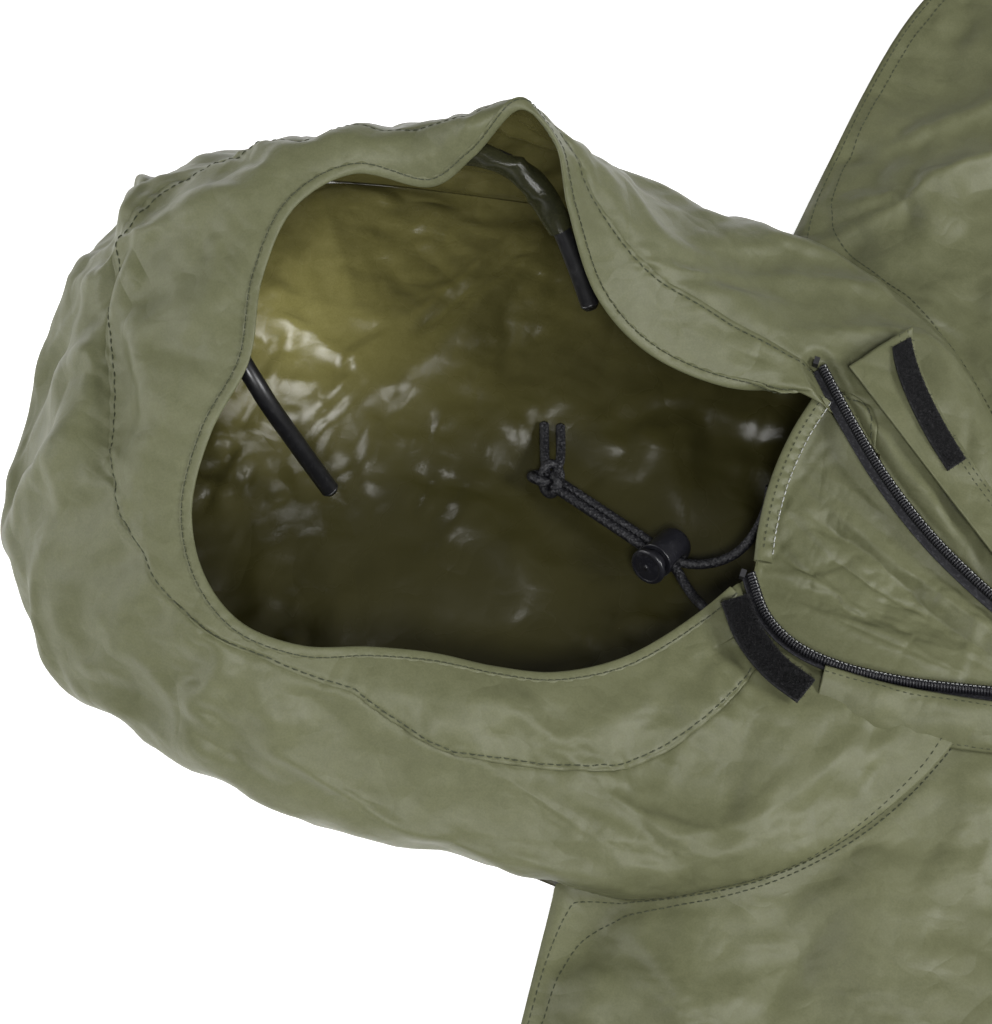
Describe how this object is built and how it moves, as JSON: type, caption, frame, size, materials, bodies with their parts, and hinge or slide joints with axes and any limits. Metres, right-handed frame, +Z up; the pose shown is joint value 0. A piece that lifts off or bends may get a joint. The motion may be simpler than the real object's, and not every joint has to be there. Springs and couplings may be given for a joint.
{
  "type": "bivy sack",
  "caption": "Hooded bivy bag in coated olive nylon lying open, with a face opening drawn in by a cord and lock, a stay rod in the hood, a zip at the throat and a storm flap.",
  "frame": {"origin": "on the ground under the middle of the bag", "axes": "+X runs from the hood to the foot, +Y to the side the storm flap is sewn on, +Z up"},
  "size_m": [2.2898, 0.856, 0.1647],
  "materials": {
    "shell_fabric": "olive coated nylon, soft sheen outside, glossy coating inside",
    "base_fabric": "olive coated nylon groundsheet",
    "lining_fabric": "dark olive glossy coated nylon",
    "seam_tape": "clear glossy sealing tape",
    "cord": "black braided polyester",
    "zip_coil": "black nylon coil",
    "zip_tape": "black woven tape",
    "touch_strip": "black hook and loop",
    "zip_metal": "black lacquered metal",
    "rod_plastic": "black satin plastic",
    "lock_plastic": "black satin moulded plastic",
    "spring_steel": "bright spring wire"
  },
  "bodies": {
    "bag": {"front_panel": "shell_fabric", "face_facing": "shell_fabric", "hood_shell": "shell_fabric", "base_panel": "base_fabric", "foot_panel": "shell_fabric", "side_binding_near": "shell_fabric", "side_binding_far": "shell_fabric", "neck_seam_near": "shell_fabric", "neck_seam_far": "shell_fabric", "seam_tape_near": "seam_tape", "seam_tape_far": "seam_tape", "face_hem": "shell_fabric", "drawcord_in_hem": "cord", "gusset_hem": "shell_fabric", "throat_gusset": "shell_fabric", "zip_coil_near": "zip_coil", "zip_coil_far": "zip_coil", "zip_coil_closed": "zip_coil", "zip_tape_near": "zip_tape", "zip_tape_far": "zip_tape", "zip_tape_closed": "zip_tape", "zip_top_stop_near": "zip_metal", "zip_top_stop_far": "zip_metal", "zip_bottom_stop": "zip_metal", "zip_placket": "shell_fabric", "loop_strip": "touch_strip", "stay_rod": "rod_plastic", "stay_sleeve": "lining_fabric", "stay_cap_near": "rod_plastic", "stay_cap_far": "rod_plastic", "drawcord_far": "cord", "drawcord_near": "cord", "drawcord_knot": "cord", "drawcord_end_one": "cord", "drawcord_end_two": "cord"},
    "flap": {"storm_flap": "shell_fabric", "hook_strip": "touch_strip"},
    "slider": {"zip_slider": "zip_metal"},
    "pull": {"zip_pull": "zip_metal"},
    "cord_lock": {"cord_lock_barrel": "lock_plastic", "cord_lock_spring": "spring_steel"},
    "lock_button": {"cord_lock_button": "lock_plastic"}
  },
  "joints": [
    {"name": "flap_fold", "type": "hinge", "parent": "bag", "child": "flap", "pos_m": [-0.769, 0.099, 0.0625], "axis": [0.8112, -0.5794, -0.0784], "range_deg": [0, 160]},
    {"name": "zip_slide", "type": "slide", "parent": "bag", "child": "slider", "axis": [1, 0, 0], "range_m": [0, 0.35]},
    {"name": "pull_swing", "type": "hinge", "parent": "slider", "child": "pull", "pos_m": [-0.577, -0.008, 0.0477], "axis": [0, -1, 0], "range_deg": [0, 160]},
    {"name": "lock_slide", "type": "slide", "parent": "bag", "child": "cord_lock", "axis": [-0.943, 0.3119, -0.1161], "range_m": [0, 0.03]},
    {"name": "lock_press", "type": "slide", "parent": "cord_lock", "child": "lock_button", "axis": [0.3292, 0.8231, -0.4627], "range_m": [0, 0.0036], "stiffness_N_per_m": 900, "springref_m": -0.002, "deforming": ["cord_lock_spring"]}
  ]
}
